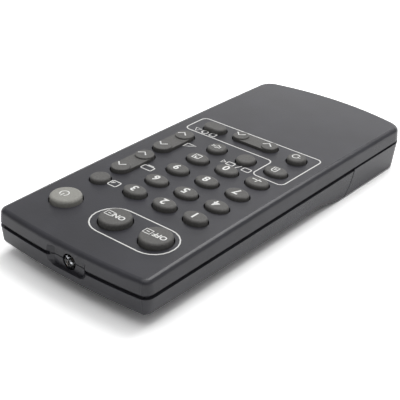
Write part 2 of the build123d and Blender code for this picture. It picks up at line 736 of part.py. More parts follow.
def make_controller_chip():
    """Moulded chip with a row of pins at both long sides, under the board."""
    y = EMITTER_END - CHIP_FROM_EMITTER
    top = BOARD_UNDER - CHIP_STANDOFF
    half = CHIP_WIDTH / 2
    low = (CHIP_X - CHIP_LENGTH / 2, y - half, top - CHIP_HEIGHT)
    chip = box(low, (CHIP_X + CHIP_LENGTH / 2, y + half, top))
    first = CHIP_X - PIN_PITCH * (PIN_COUNT - 1) / 2
    for n in range(PIN_COUNT):
        x = first + n * PIN_PITCH
        low = (x - PIN_WIDTH / 2, y - half - PIN_REACH, BOARD_UNDER - PIN_WIDTH)
        chip += box(low, (x + PIN_WIDTH / 2, y + half + PIN_REACH, BOARD_UNDER))
    return chip


def make_resonator():
    """Ceramic resonator, a dipped block with rounded ends."""
    y = EMITTER_END - CHIP_FROM_EMITTER
    face = Pos(RESONATOR_X, y) * SlotOverall(RESONATOR_LENGTH, RESONATOR_WIDTH)
    return upright(face, BOARD_UNDER - RESONATOR_HEIGHT, BOARD_UNDER)


def make_capacitor():
    """Storage capacitor lying on its side, with two bent leads."""
    y = EMITTER_END - CAPACITOR_FROM_EMITTER
    z = BOARD_UNDER - CAPACITOR_RADIUS
    end = CAPACITOR_X + CAPACITOR_LENGTH
    can = rod(CAPACITOR_RADIUS, (CAPACITOR_X, y, z), (end, y, z))
    half = LEAD_SIZE / 2
    for side in (-1, 1):
        lead_y = y + side * CAPACITOR_RADIUS / 2
        tip = end + CAPACITOR_LEAD
        can += box((end - half, lead_y - half, z - half), (tip, lead_y + half, z + half))
        can += box((tip - LEAD_SIZE, lead_y - half, z - half), (tip, lead_y + half, BOARD_UNDER))
    return can


def make_driver_transistor():
    """Driver transistor lying on its flat, with three legs."""
    y = EMITTER_END - TRANSISTOR_FROM_EMITTER
    z = BOARD_UNDER - TRANSISTOR_FLAT
    start = (TRANSISTOR_X, y, z)
    body = rod(TRANSISTOR_RADIUS, start, (TRANSISTOR_X, y + TRANSISTOR_LENGTH, z))
    body &= slab(-FAR, FAR, 0, BOARD_UNDER)
    half = LEAD_SIZE / 2
    for n in (-1, 0, 1):
        x = TRANSISTOR_X + n * LEG_PITCH
        back = y - LEG_REACH
        body += box((x - half, back, z - half), (x + half, y + half, z + half))
        body += box((x - half, back, z - half), (x + half, back + LEAD_SIZE, BOARD_UNDER))
    return body


def make_chip_resistors():
    """A row of chip resistors under the board."""
    y = EMITTER_END - RESISTOR_FROM_EMITTER
    first = -RESISTOR_PITCH * (RESISTOR_COUNT - 1) / 2
    row = []
    for n in range(RESISTOR_COUNT):
        x = first + n * RESISTOR_PITCH
        low = (x - RESISTOR_LENGTH / 2, y, BOARD_UNDER - RESISTOR_HEIGHT)
        row.append(box(low, (x + RESISTOR_LENGTH / 2, y + RESISTOR_WIDTH, BOARD_UNDER)))
    return row


# Cells and their contacts
def make_cell(y, side):
    """One dry cell lying crosswise, its raised pole towards side."""
    x = side * CELL_SHIFT
    pole = side * (CELL_LENGTH / 2 - NUB_LENGTH)
    start = (x - side * CELL_LENGTH / 2, y, CELL_Z)
    shoulder = (x + pole, y, CELL_Z)
    cell = rod(CELL_RADIUS, start, shoulder)
    return cell + rod(NUB_RADIUS, shoulder, (x + side * CELL_LENGTH / 2, y, CELL_Z))


def tail_heights():
    """Height ranges at which the two contact tails pass through the bulkhead."""
    low = COVER_WALL + BAY_LIFT + TAIL_LIFT
    return [(BOARD_UNDER - TAIL_WIDTH, BOARD_UNDER), (low, low + TAIL_WIDTH)]


def plate(side, y):
    """Flat part of a contact, against the end wall of the bay."""
    ends = sorted((side * BAY_HALF, side * (BAY_HALF - STRIP_THICK)))
    half = STRIP_WIDTH / 2
    low = (ends[0], y - half, CELL_Z - PLATE_HEIGHT / 2)
    return box(low, (ends[1], y + half, CELL_Z + PLATE_HEIGHT / 2))


def leaf(side, y):
    """Sprung leaf, bent from the plate's foot to a ridge that presses on the cell."""
    wall = BAY_HALF - STRIP_THICK
    ridge = BAY_HALF - STRIP_THICK - 2 * CELL_SHIFT
    foot = CELL_Z - PLATE_HEIGHT / 2
    t = STRIP_THICK
    outer = [(wall, foot), (ridge, CELL_Z), (wall - 2 * t, CELL_Z + PLATE_HEIGHT / 2)]
    inner = [(x + t, z) for x, z in reversed(outer)]
    points = [(side * x, z) for x, z in outer + inner]
    plane = Plane(origin=(0, y, 0), x_dir=(1, 0, 0), z_dir=(0, -1, 0))
    face = make_face(Polyline(*points, close=True))
    return extrude(plane * face, amount=STRIP_WIDTH / 2, both=True)


def make_contact_bridge():
    """Strip that joins the two cells: a leaf for one, a plate for the other."""
    low = (-BAY_HALF, CELL_B_Y, CELL_Z - TAIL_WIDTH / 2)
    joint = box(low, (STRIP_THICK - BAY_HALF, CELL_A_Y, CELL_Z + TAIL_WIDTH / 2))
    return plate(-1, CELL_A_Y) + plate(-1, CELL_B_Y) + joint + leaf(-1, CELL_A_Y)


def make_contact_positive():
    """Plate for the raised pole, with a tail to the underside of the board."""
    low_z, high_z = tail_heights()[0]
    low = (BAY_HALF - STRIP_THICK, CELL_A_Y, low_z)
    tail = box(low, (BAY_HALF, BOARD_BACK + TAIL_UNDER_BOARD, high_z))
    return plate(1, CELL_A_Y) + tail


def make_contact_negative():
    """Leaf for the flat pole; its tail runs low along the wall and up to the board."""
    low_z, high_z = tail_heights()[1]
    x = BAY_HALF - STRIP_THICK
    riser = BOARD_BACK + TAIL_UNDER_BOARD + TAIL_SLOT_GAP
    tail = box((x, CELL_B_Y, low_z), (BAY_HALF, riser + TAIL_WIDTH, high_z))
    tail += box((x, riser, low_z), (BAY_HALF, riser + TAIL_WIDTH, BOARD_UNDER))
    return plate(1, CELL_B_Y) + leaf(1, CELL_B_Y) + tail


# Case screws
def make_case_screws():
    """Two pan-head screws with a cross recess, up through the lugs into the bosses."""
    screws = []
    for side in (-1, 1):
        x = side * SCREW_OFFSET
        seat = LUG_TOP - LUG_THICK
        head = rod(SCREW_HEAD_RADIUS, (x, SCREW_Y, seat - SCREW_HEAD), (x, SCREW_Y, seat))
        head = fillet(head.edges().group_by(Axis.Z)[0], SCREW_HEAD / 3)
        screw = head + rod(SCREW_RADIUS, (x, SCREW_Y, seat), (x, SCREW_Y, seat + SCREW_LENGTH))
        cross = Rectangle(2 * SCREW_RADIUS, CROSS_WIDTH) + Rectangle(CROSS_WIDTH, 2 * SCREW_RADIUS)
        cut = extrude(cross, amount=CROSS_DEPTH)
        screws.append(screw - Pos(x, SCREW_Y, seat - SCREW_HEAD) * cut)
    return screws


def write(name, shape):
    """Write one node; a list becomes one node of several separate solids."""
    if isinstance(shape, list):
        shape = Compound(children=[solid for item in shape for solid in item.solids()])
    export_step(shape, f"parts/{name}.step")


os.makedirs("parts", exist_ok=True)
write("upper_case", make_upper_case())
write("lower_case", make_lower_case())
write("battery_cover", make_battery_cover())
write("keypad_sheet", make_keypad_sheet())
write("circuit_board", make_circuit_board())
write("contact_pads", make_contact_pads())
write("ir_lamp", make_ir_lamp())
write("controller_chip", make_controller_chip())
write("resonator", make_resonator())
write("capacitor", make_capacitor())
write("driver_transistor", make_driver_transistor())
write("chip_resistors", make_chip_resistors())
write("battery_cell_a", make_cell(CELL_A_Y, 1))
write("battery_cell_b", make_cell(CELL_B_Y, -1))
write("contact_bridge", make_contact_bridge())
write("contact_positive", make_contact_positive())
write("contact_negative", make_contact_negative())
write("case_screws", make_case_screws())
for key in KEYS:
    write(key.name, make_key(key))
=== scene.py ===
import math

import bpy
from mathutils import Matrix, Vector


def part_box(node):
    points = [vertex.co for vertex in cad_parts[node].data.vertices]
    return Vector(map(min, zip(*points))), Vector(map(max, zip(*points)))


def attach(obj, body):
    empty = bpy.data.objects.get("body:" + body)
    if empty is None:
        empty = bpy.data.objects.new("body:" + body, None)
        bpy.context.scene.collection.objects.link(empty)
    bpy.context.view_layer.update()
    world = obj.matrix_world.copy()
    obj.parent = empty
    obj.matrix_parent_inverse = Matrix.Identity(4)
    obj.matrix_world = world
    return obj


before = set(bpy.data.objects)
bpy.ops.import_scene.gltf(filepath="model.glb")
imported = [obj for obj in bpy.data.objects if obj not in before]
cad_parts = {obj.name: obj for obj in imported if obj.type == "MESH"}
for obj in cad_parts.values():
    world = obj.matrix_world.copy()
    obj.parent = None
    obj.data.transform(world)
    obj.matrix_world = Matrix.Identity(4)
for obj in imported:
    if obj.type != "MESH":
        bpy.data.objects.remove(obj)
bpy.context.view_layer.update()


# The casing is two shells that close on each other round a shadow groove. They
# are injection moulded in charcoal ABS, in tools with a fine spark eroded
# texture, so they look matt, with a soft sheen, a faint grain and rubbed edges.

CASING_GREY = "#3a3a3f"
CASING_PALER = "#3f3f45"
CASING_ROUGHNESS = 0.28
RUBBED_ROUGHNESS = 0.24
RUBBED_FROM = 0.0285
RUBBED_TO = 0.0305
# the tool's grain is 0.1 mm and is drawn at 0.35 mm, the finest that shows
CASING_GRAIN = 0.00035
CASING_GRAIN_DEPTH = 0.00002
CASING_CLOUDS = 0.012
CLOUD_BAND = (0.35, 0.65)


def linear(colour):
    """The linear colour that Blender takes for an sRGB hex value."""
    channels = [int(colour[i:i + 2], 16) / 255 for i in (1, 3, 5)]
    return [c / 12.92 if c <= 0.04045 else ((c + 0.055) / 1.055) ** 2.4 for c in channels] + [1.0]


def add_node(material, kind, settings, sockets):
    """Add a node; a socket takes a value, or the output that feeds it."""
    node = material.node_tree.nodes.new(kind)
    for name, value in settings.items():
        setattr(node, name, value)
    for socket, value in sockets.items():
        if isinstance(value, bpy.types.NodeSocket):
            material.node_tree.links.new(value, node.inputs[socket])
        else:
            node.inputs[socket].default_value = value
    return node


def new_material(name, sockets):
    """A material with its constant values on the shader, and the Object coordinates."""
    material = bpy.data.materials.new(name)
    material.use_nodes = True
    shader = material.node_tree.nodes["Principled BSDF"]
    for socket, value in sockets.items():
        shader.inputs[socket].default_value = value
    place = add_node(material, "ShaderNodeTexCoord", {}, {}).outputs["Object"]
    return material, shader, place


def dress(material, *nodes):
    """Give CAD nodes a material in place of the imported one."""
    for node in nodes:
        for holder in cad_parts[node].material_slots:
            holder.material = material


def spark_textured_abs(name, colour, paler):
    """Moulded ABS: slow clouds of tone, a fine pitted grain and edges rubbed smoother."""
    abs_plastic, shader, place = new_material(name, {"IOR": 1.53})
    links = abs_plastic.node_tree.links
    clouds = add_node(abs_plastic, "ShaderNodeTexNoise", {},
                      {"Vector": place, "Scale": 1 / CASING_CLOUDS, "Detail": 3.0})
    share = add_node(abs_plastic, "ShaderNodeMapRange", {},
                     {"Value": clouds.outputs["Fac"], "From Min": CLOUD_BAND[0], "From Max": CLOUD_BAND[1]})
    tint = add_node(abs_plastic, "ShaderNodeMix", {"data_type": "RGBA"},
                    {0: share.outputs[0], 6: linear(colour), 7: linear(paler)})
    links.new(tint.outputs[2], shader.inputs["Base Color"])
    axes = add_node(abs_plastic, "ShaderNodeSeparateXYZ", {}, {"Vector": place})
    aside = add_node(abs_plastic, "ShaderNodeMath", {"operation": "ABSOLUTE"}, {0: axes.outputs["X"]})
    rubbed = add_node(abs_plastic, "ShaderNodeMapRange", {},
                      {"Value": aside.outputs[0], "From Min": RUBBED_FROM, "From Max": RUBBED_TO,
                       "To Min": CASING_ROUGHNESS, "To Max": RUBBED_ROUGHNESS})
    links.new(rubbed.outputs[0], shader.inputs["Roughness"])
    grain = add_node(abs_plastic, "ShaderNodeTexNoise", {},
                     {"Vector": place, "Scale": 1 / CASING_GRAIN, "Detail": 2.0})
    bump = add_node(abs_plastic, "ShaderNodeBump", {},
                    {"Height": grain.outputs["Fac"], "Distance": CASING_GRAIN_DEPTH})
    links.new(bump.outputs["Normal"], shader.inputs["Normal"])
    return abs_plastic


casing_abs = spark_textured_abs("spark_textured_charcoal_abs", CASING_GREY, CASING_PALER)
dress(casing_abs, "lower_case", "upper_case")


# The circuit board is punched from paper phenolic laminate, with copper tracks
# under a green solder mask on its faces. It drops over four pegs of the lower
# case. The bare laminate is tan and slightly fibrous at the punched edges.

MASK_GREEN = "#1d5a35"
TRACK_GREEN = "#3f8150"
LAMINATE_TAN = "#a9793f"
LAMINATE_FIBRE = "#94662f"
TRACK_PITCH = 0.002
TRACK_RUN = 0.015
TRACK_WIDTH = 0.0005
TRACK_STAGGER = 0.37
TRACK_STEP = 0.00003
LAMINATE_GRAIN = 0.0004
# a face whose normal is further along Z than this is the top or bottom of the board
FLAT_FACING = 0.7

board_mask, board_shader, board_place = new_material("solder_masked_phenolic_board",
                                                     {"Roughness": 0.32, "IOR": 1.55})
tracks = add_node(board_mask, "ShaderNodeTexBrick", {"offset": TRACK_STAGGER},
                  {"Vector": board_place, "Scale": 1 / TRACK_PITCH, "Row Height": 1.0,
                   "Brick Width": TRACK_RUN / TRACK_PITCH, "Mortar Size": TRACK_WIDTH / TRACK_PITCH / 2,
                   "Mortar Smooth": 0.0, "Color1": linear(MASK_GREEN), "Color2": linear(MASK_GREEN),
                   "Mortar": linear(TRACK_GREEN)})
fibre = add_node(board_mask, "ShaderNodeTexNoise", {},
                 {"Vector": board_place, "Scale": 1 / LAMINATE_GRAIN, "Detail": 2.0})
laminate = add_node(board_mask, "ShaderNodeMix", {"data_type": "RGBA"},
                    {0: fibre.outputs["Fac"], 6: linear(LAMINATE_TAN), 7: linear(LAMINATE_FIBRE)})
surface = add_node(board_mask, "ShaderNodeNewGeometry", {}, {})
facing = add_node(board_mask, "ShaderNodeSeparateXYZ", {}, {"Vector": surface.outputs["Normal"]})
flatness = add_node(board_mask, "ShaderNodeMath", {"operation": "ABSOLUTE"}, {0: facing.outputs["Z"]})
on_face = add_node(board_mask, "ShaderNodeMath", {"operation": "GREATER_THAN"},
                   {0: flatness.outputs[0], 1: FLAT_FACING})
board_colour = add_node(board_mask, "ShaderNodeMix", {"data_type": "RGBA"},
                        {0: on_face.outputs[0], 6: laminate.outputs[2], 7: tracks.outputs["Color"]})
board_mask.node_tree.links.new(board_colour.outputs[2], board_shader.inputs["Base Color"])
track_step = add_node(board_mask, "ShaderNodeBump", {"invert": True},
                      {"Height": tracks.outputs["Fac"], "Strength": 0.4, "Distance": TRACK_STEP})
board_mask.node_tree.links.new(track_step.outputs["Normal"], board_shader.inputs["Normal"])
dress(board_mask, "circuit_board")


# Each key closes a contact pad: two combs of carbon ink printed on the board,
# finger between finger. The ink is dead black, the gaps show the green mask.

CARBON_BLACK = "#17171a"
COMB_PITCH = 0.0008
COMB_GAP_LEVEL = 0.75
# at a scale of 1 the wave texture turns by 20 radians in a metre
WAVE_RATE = 20

carbon_ink, carbon_shader, carbon_place = new_material("printed_carbon_ink", {"Roughness": 0.7, "IOR": 1.6})
fingers = add_node(carbon_ink, "ShaderNodeTexWave", {"bands_direction": "X"},
                   {"Vector": carbon_place, "Scale": math.tau / (WAVE_RATE * COMB_PITCH)})
gaps = add_node(carbon_ink, "ShaderNodeMath", {"operation": "GREATER_THAN"},
                {0: fingers.outputs["Fac"], 1: COMB_GAP_LEVEL})
comb_colour = add_node(carbon_ink, "ShaderNodeMix", {"data_type": "RGBA"},
                       {0: gaps.outputs[0], 6: linear(CARBON_BLACK), 7: linear(MASK_GREEN)})
carbon_ink.node_tree.links.new(comb_colour.outputs[2], carbon_shader.inputs["Base Color"])
dress(carbon_ink, "contact_pads")


# The controller is a chip in a black epoxy body, transfer moulded over its lead
# frame, with fourteen tinned pins soldered along each side. The epoxy is matt
# and finely pitted, the pins bright.

EPOXY_BLACK = "#1f2022"
EPOXY_PALER = "#2b2c2e"
EPOXY_GRAIN = 0.0003
TIN_GREY = "#c3c4c2"
CHIP_MIDDLE_Y = 0.020
CHIP_HALF_WIDTH = 0.00378


def tin_beyond(material, shader, colour, along, middle, half):
    """Bright tinned metal on all that lies further than half from the middle of the body."""
    inside = add_node(material, "ShaderNodeMath", {"operation": "COMPARE"}, {0: along, 1: middle, 2: half})
    outside = add_node(material, "ShaderNodeMath", {"operation": "SUBTRACT"},
                       {0: 1.0, 1: inside.outputs[0]})
    tint = add_node(material, "ShaderNodeMix", {"data_type": "RGBA"},
                    {0: inside.outputs[0], 6: linear(TIN_GREY), 7: colour})
    material.node_tree.links.new(tint.outputs[2], shader.inputs["Base Color"])
    material.node_tree.links.new(outside.outputs[0], shader.inputs["Metallic"])


def moulded_epoxy(name, axis, middle, half):
    """A black moulded body whose pins show beyond it along one axis."""
    epoxy, shader, place = new_material(name, {"Roughness": 0.48, "IOR": 1.55})
    pits = add_node(epoxy, "ShaderNodeTexNoise", {},
                    {"Vector": place, "Scale": 1 / EPOXY_GRAIN, "Detail": 2.0})
    tone = add_node(epoxy, "ShaderNodeMix", {"data_type": "RGBA"},
                    {0: pits.outputs["Fac"], 6: linear(EPOXY_BLACK), 7: linear(EPOXY_PALER)})
    along = add_node(epoxy, "ShaderNodeSeparateXYZ", {}, {"Vector": place}).outputs[axis]
    tin_beyond(epoxy, shader, tone.outputs[2], along, middle, half)
    return epoxy


dress(moulded_epoxy("moulded_chip_epoxy", "Y", CHIP_MIDDLE_Y, CHIP_HALF_WIDTH), "controller_chip")


# The driver transistor lies on its flat beside the lamp. It has the same black
# moulded epoxy as the chip, and three tinned legs.

TRANSISTOR_MIDDLE_Y = 0.0481
TRANSISTOR_HALF_LENGTH = 0.00212

dress(moulded_epoxy("moulded_transistor_epoxy", "Y", TRANSISTOR_MIDDLE_Y, TRANSISTOR_HALF_LENGTH),
      "driver_transistor")


# The resonator is a ceramic sandwich dipped in ochre lacquer, which flows round
# its corners and dries to a waxy shine with a slight orange peel.

OCHRE_LACQUER = "#b3702c"
OCHRE_DEEPER = "#9c5c20"
LACQUER_PEEL = 0.0006

lacquer, lacquer_shader, lacquer_place = new_material("dipped_ochre_lacquer",
                                                      {"Roughness": 0.3, "IOR": 1.5})
peel = add_node(lacquer, "ShaderNodeTexNoise", {},
                {"Vector": lacquer_place, "Scale": 1 / LACQUER_PEEL, "Detail": 1.0})
lacquer_tone = add_node(lacquer, "ShaderNodeMix", {"data_type": "RGBA"},
                        {0: peel.outputs["Fac"], 6: linear(OCHRE_LACQUER), 7: linear(OCHRE_DEEPER)})
lacquer.node_tree.links.new(lacquer_tone.outputs[2], lacquer_shader.inputs["Base Color"])
peel_bump = add_node(lacquer, "ShaderNodeBump", {},
                     {"Height": peel.outputs["Fac"], "Strength": 0.3, "Distance": 0.00004})
lacquer.node_tree.links.new(peel_bump.outputs["Normal"], lacquer_shader.inputs["Normal"])
dress(lacquer, "resonator")


# The capacitor is an aluminium can in a shrunk plastic sleeve, with a pale
# stripe along the side of its minus lead. Both leads are tinned and bent up.

SLEEVE_BLUE = "#1f2d55"
STRIPE_GREY = "#b9bcc6"
CAN_MIDDLE_X = 0.0115
CAN_HALF_LENGTH = 0.00353
CAN_AXIS_Y = -0.008
STRIPE_HALF_WIDTH = 0.0006

sleeve, sleeve_shader, sleeve_place = new_material("shrunk_capacitor_sleeve",
                                                   {"Roughness": 0.28, "IOR": 1.5})
can_axes = add_node(sleeve, "ShaderNodeSeparateXYZ", {}, {"Vector": sleeve_place})
stripe = add_node(sleeve, "ShaderNodeMath", {"operation": "COMPARE"},
                  {0: can_axes.outputs["Y"], 1: CAN_AXIS_Y, 2: STRIPE_HALF_WIDTH})
sleeve_tone = add_node(sleeve, "ShaderNodeMix", {"data_type": "RGBA"},
                       {0: stripe.outputs[0], 6: linear(SLEEVE_BLUE), 7: linear(STRIPE_GREY)})
tin_beyond(sleeve, sleeve_shader, sleeve_tone.outputs[2], can_axes.outputs["X"], CAN_MIDDLE_X,
           CAN_HALF_LENGTH)
dress(sleeve, "capacitor")


# The chip resistors are alumina blocks with a black glaze and tinned ends, set
# in a row by machine at a pitch of 4 mm.

GLAZE_BLACK = "#242326"
RESISTOR_PITCH = 0.004
RESISTOR_HALF_GLAZE = 0.00065

glaze, glaze_shader, glaze_place = new_material("glazed_resistor_blocks", {"Roughness": 0.22, "IOR": 1.6})
resistor_x = add_node(glaze, "ShaderNodeSeparateXYZ", {}, {"Vector": glaze_place}).outputs["X"]
within_pitch = add_node(glaze, "ShaderNodeMath", {"operation": "WRAP"},
                        {0: resistor_x, 1: RESISTOR_PITCH, 2: 0.0})
tin_beyond(glaze, glaze_shader, linear(GLAZE_BLACK), within_pitch.outputs[0], RESISTOR_PITCH / 2,
           RESISTOR_HALF_GLAZE)
dress(glaze, "chip_resistors")


# The infrared lamp is cast in clear epoxy round a tinned lead frame, whose cup
# and post show through it. It lies on the board's edge and looks out through
# the recess in the end of the casing.

EPOXY_CLEAR = "#e6e9ee"
LAMP_MIDDLE_Y = 0.0671
LAMP_HALF_LENGTH = 0.00431
LAMP_X = -0.0008
LAMP_Z = 0.01005
LEAD_HALF_PITCH = 0.00127
CUP_BACK_Y = 0.0664
CUP_FRONT_Y = 0.0676
CUP_RADIUS = 0.00105
CUP_FOOT_RADIUS = 0.0006
CUP_RIM = 0.00018
CUP_TAPER = 0.55
# a face whose normal is further along Y than this is the mouth of the cup
MOUTH_FACING = 0.9
POST_BACK_Y = 0.0636
POST_WIDTH = 0.00055
POST_THICKNESS = 0.0005
POST_EDGE = 0.00008

cast_epoxy, cast_shader, cast_place = new_material("cast_clear_epoxy", {"Roughness": 0.04, "IOR": 1.54})
cast_y = add_node(cast_epoxy, "ShaderNodeSeparateXYZ", {}, {"Vector": cast_place}).outputs["Y"]
tin_beyond(cast_epoxy, cast_shader, linear(EPOXY_CLEAR), cast_y, LAMP_MIDDLE_Y, LAMP_HALF_LENGTH)
in_lens = add_node(cast_epoxy, "ShaderNodeMath", {"operation": "COMPARE"},
                   {0: cast_y, 1: LAMP_MIDDLE_Y, 2: LAMP_HALF_LENGTH})
cast_epoxy.node_tree.links.new(in_lens.outputs[0], cast_shader.inputs["Transmission Weight"])
dress(cast_epoxy, "ir_lamp")

stamped_frame, stamped_shader, stamped_place = new_material(
    "stamped_tinned_lead_frame", {"Metallic": 1.0, "Roughness": 0.3, "Base Color": linear(TIN_GREY)})
stamping_lines = add_node(stamped_frame, "ShaderNodeTexNoise", {},
                          {"Vector": stamped_place, "Scale": 1 / EPOXY_GRAIN, "Detail": 2.0})
stamping_bump = add_node(stamped_frame, "ShaderNodeBump", {},
                         {"Height": stamping_lines.outputs["Fac"], "Strength": 0.2, "Distance": 0.00002})
stamped_frame.node_tree.links.new(stamping_bump.outputs["Normal"], stamped_shader.inputs["Normal"])

bpy.ops.object.select_all(action="DESELECT")
cup_middle = (LAMP_X - LEAD_HALF_PITCH / 2, (CUP_BACK_Y + CUP_FRONT_Y) / 2, LAMP_Z)
cup_length = CUP_FRONT_Y - CUP_BACK_Y
bpy.ops.mesh.primitive_cone_add(vertices=24, radius1=CUP_FOOT_RADIUS, radius2=CUP_RADIUS,
                                depth=cup_length, location=cup_middle, rotation=(-math.pi / 2, 0, 0))
lead_frame = bpy.context.object
lead_frame.name = "lamp_lead_frame"
bpy.ops.object.transform_apply(location=True, rotation=True, scale=True)
bpy.ops.object.mode_set(mode="EDIT")
bpy.ops.mesh.select_all(action="DESELECT")
bpy.ops.object.mode_set(mode="OBJECT")
for face in lead_frame.data.polygons:
    face.select = face.normal.y > MOUTH_FACING
bpy.ops.object.mode_set(mode="EDIT")
bpy.ops.mesh.select_mode(type="FACE")
bpy.ops.mesh.inset(thickness=CUP_RIM)
bpy.ops.mesh.extrude_region_move(TRANSFORM_OT_translate={"value": (0, -cup_length / 2, 0)})
bpy.ops.transform.resize(value=(CUP_TAPER, 1, CUP_TAPER))
bpy.ops.object.mode_set(mode="OBJECT")
for side, reach in ((-1, CUP_BACK_Y), (1, CUP_FRONT_Y)):
    bpy.ops.object.select_all(action="DESELECT")
    bpy.ops.mesh.primitive_cube_add(
        size=1, location=(LAMP_X + side * LEAD_HALF_PITCH, (POST_BACK_Y + reach) / 2, LAMP_Z))
    post = bpy.context.object
    post.scale = (POST_WIDTH, reach - POST_BACK_Y, POST_THICKNESS)
    bpy.ops.object.transform_apply(location=True, rotation=True, scale=True)
    bpy.ops.object.mode_set(mode="EDIT")
    bpy.ops.mesh.select_all(action="SELECT")
    bpy.ops.mesh.bevel(offset=POST_EDGE, segments=2)
    bpy.ops.object.mode_set(mode="OBJECT")
    lead_frame.select_set(True)
    bpy.context.view_layer.objects.active = lead_frame
    bpy.ops.object.join()
lead_frame.data.materials.clear()
lead_frame.data.materials.append(stamped_frame)
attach(lead_frame, "case")


# The keypad sheet lies on the board under the upper case and carries all the
# keys. It is compression moulded in dark silicone, dull and slightly dusty.

SHEET_GREY = "#38383a"
SHEET_DUST = "#454546"
PILL_LEVEL = 0.01325
SILICONE_SPECK = 0.0006
SPECK_BAND = (0.4, 0.7)


def moulded_silicone(name, colour, speck):
    """Silicone with pale filler specks, black with carbon below the level of the pills."""
    rubber, shader, place = new_material(name, {"Roughness": 0.58, "IOR": 1.41})
    filler = add_node(rubber, "ShaderNodeTexNoise", {},
                      {"Vector": place, "Scale": 1 / SILICONE_SPECK, "Detail": 2.0})
    share = add_node(rubber, "ShaderNodeMapRange", {},
                     {"Value": filler.outputs["Fac"], "From Min": SPECK_BAND[0], "From Max": SPECK_BAND[1]})
    tone = add_node(rubber, "ShaderNodeMix", {"data_type": "RGBA"},
                    {0: share.outputs[0], 6: linear(colour), 7: linear(speck)})
    height = add_node(rubber, "ShaderNodeSeparateXYZ", {}, {"Vector": place}).outputs["Z"]
    above = add_node(rubber, "ShaderNodeMath", {"operation": "GREATER_THAN"}, {0: height, 1: PILL_LEVEL})
    tint = add_node(rubber, "ShaderNodeMix", {"data_type": "RGBA"},
                    {0: above.outputs[0], 6: linear(CARBON_BLACK), 7: tone.outputs[2]})
    rubber.node_tree.links.new(tint.outputs[2], shader.inputs["Base Color"])
    skin = add_node(rubber, "ShaderNodeBump", {},
                    {"Height": filler.outputs["Fac"], "Strength": 0.5, "Distance": 0.00002})
    rubber.node_tree.links.new(skin.outputs["Normal"], shader.inputs["Normal"])
    return rubber


sheet_rubber = moulded_silicone("moulded_dark_silicone", SHEET_GREY, SHEET_DUST)
dress(sheet_rubber, "keypad_sheet")


# The keys are warm grey silicone with a dull skin, and the power key is a paler
# grey. Under each is a black pill loaded with carbon, which closes the contact.

KEY_GREY = "#636260"
KEY_SPECK = "#6e6d6b"
POWER_GREY = "#9c9b95"
POWER_SPECK = "#a7a6a0"

key_rubber = moulded_silicone("moulded_grey_silicone", KEY_GREY, KEY_SPECK)
power_rubber = moulded_silicone("moulded_pale_silicone", POWER_GREY, POWER_SPECK)
dress(key_rubber, *[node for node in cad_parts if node.startswith(("key_", "rocker_"))])
dress(power_rubber, "key_power")


# The legends are pad printed on the flat tops of the keys in one thin layer of
# off-white ink, which covers a little unevenly. The ink lies 0.02 mm proud.

INK_WHITE = "#fafaf8"
INK_THIN = "#eeeeeb"
INK_THICK_MM = 0.02
INK_PATCH = 0.0009
MM = 0.001
# points of a flat drawing that lie lower than this are the underside of its ink
UNDERSIDE_MM = -0.01
LONGEST_RUN_MM = 2.5
ARC_RUN_DEGREES = 15
DIGIT_HEIGHT = 3.2
TWO_DIGIT_HEIGHT = 2.2
WORD_HEIGHT = 2.15
GLYPH_LINE = 0.45
PAGE_LINE = 0.36
CHEVRON_LINE = 0.55
FONT_WEIGHT = 0.028
# the prints stand a little off the middle of the keys, as pad prints do
LEGEND_SHIFT = (0.45, -0.2)
POWER_SHIFT = (0.6, 0.0)
CHEVRON_SHIFT = {"y": (0.8, -0.5), "x": (0.8, -0.4)}
CHEVRON_REACH = {"y": 5.4, "x": 6.0}

ink, ink_shader, ink_place = new_material("pad_printed_white_ink", {"Roughness": 0.45, "IOR": 1.5})
patches = add_node(ink, "ShaderNodeTexNoise", {},
                   {"Vector": ink_place, "Scale": 1 / INK_PATCH, "Detail": 2.0})
ink_tone = add_node(ink, "ShaderNodeMix", {"data_type": "RGBA"},
                    {0: patches.outputs["Fac"], 6: linear(INK_WHITE), 7: linear(INK_THIN)})
ink.node_tree.links.new(ink_tone.outputs[2], ink_shader.inputs["Base Color"])


def letters(words, height):
    """Upright words as a flat mesh in millimetres, centred, with a given height."""
    bpy.ops.object.select_all(action="DESELECT")
    bpy.ops.object.text_add()
    shape = bpy.context.object
    shape.data.body = words
    shape.data.offset = FONT_WEIGHT
    shape.data.extrude = 0.1
    shape.data.resolution_u = 4
    bpy.ops.object.convert(target="MESH")
    spots = [vertex.co.copy() for vertex in shape.data.vertices]
    low = Vector([min(spot[axis] for spot in spots) for axis in range(3)])
    high = Vector([max(spot[axis] for spot in spots) for axis in range(3)])
    grow = height / (high.y - low.y)
    for vertex in shape.data.vertices:
        vertex.co = (vertex.co - (low + high) / 2) * grow
    return shape


def strokes(lines, width):
    """Lines of one width as a flat mesh in millimetres; each is a list of points."""
    drawing = bpy.data.curves.new("strokes", "CURVE")
    drawing.dimensions = "3D"
    drawing.bevel_depth = width / 2
    drawing.bevel_resolution = 1
    drawing.use_fill_caps = True
    for line in lines:
        points = [Vector(line[0])]
        for start, end in zip(line, line[1:]):
            start, end = Vector(start), Vector(end)
            parts = max(1, math.ceil((end - start).length / LONGEST_RUN_MM))
            points += [start.lerp(end, (n + 1) / parts) for n in range(parts)]
        meets_itself = (points[0] - points[-1]).length < width / 10
        points = points[:-1] if meets_itself else points
        spline = drawing.splines.new("POLY")
        spline.points.add(len(points) - 1)
        for spot, point in zip(spline.points, points):
            spot.co = (point[0], point[1], 0, 1)
        spline.use_cyclic_u = meets_itself
    shape = bpy.data.objects.new("strokes", drawing)
    bpy.context.scene.collection.objects.link(shape)
    bpy.ops.object.select_all(action="DESELECT")
    shape.select_set(True)
    bpy.context.view_layer.objects.active = shape
    bpy.ops.object.convert(target="MESH")
    return bpy.context.object


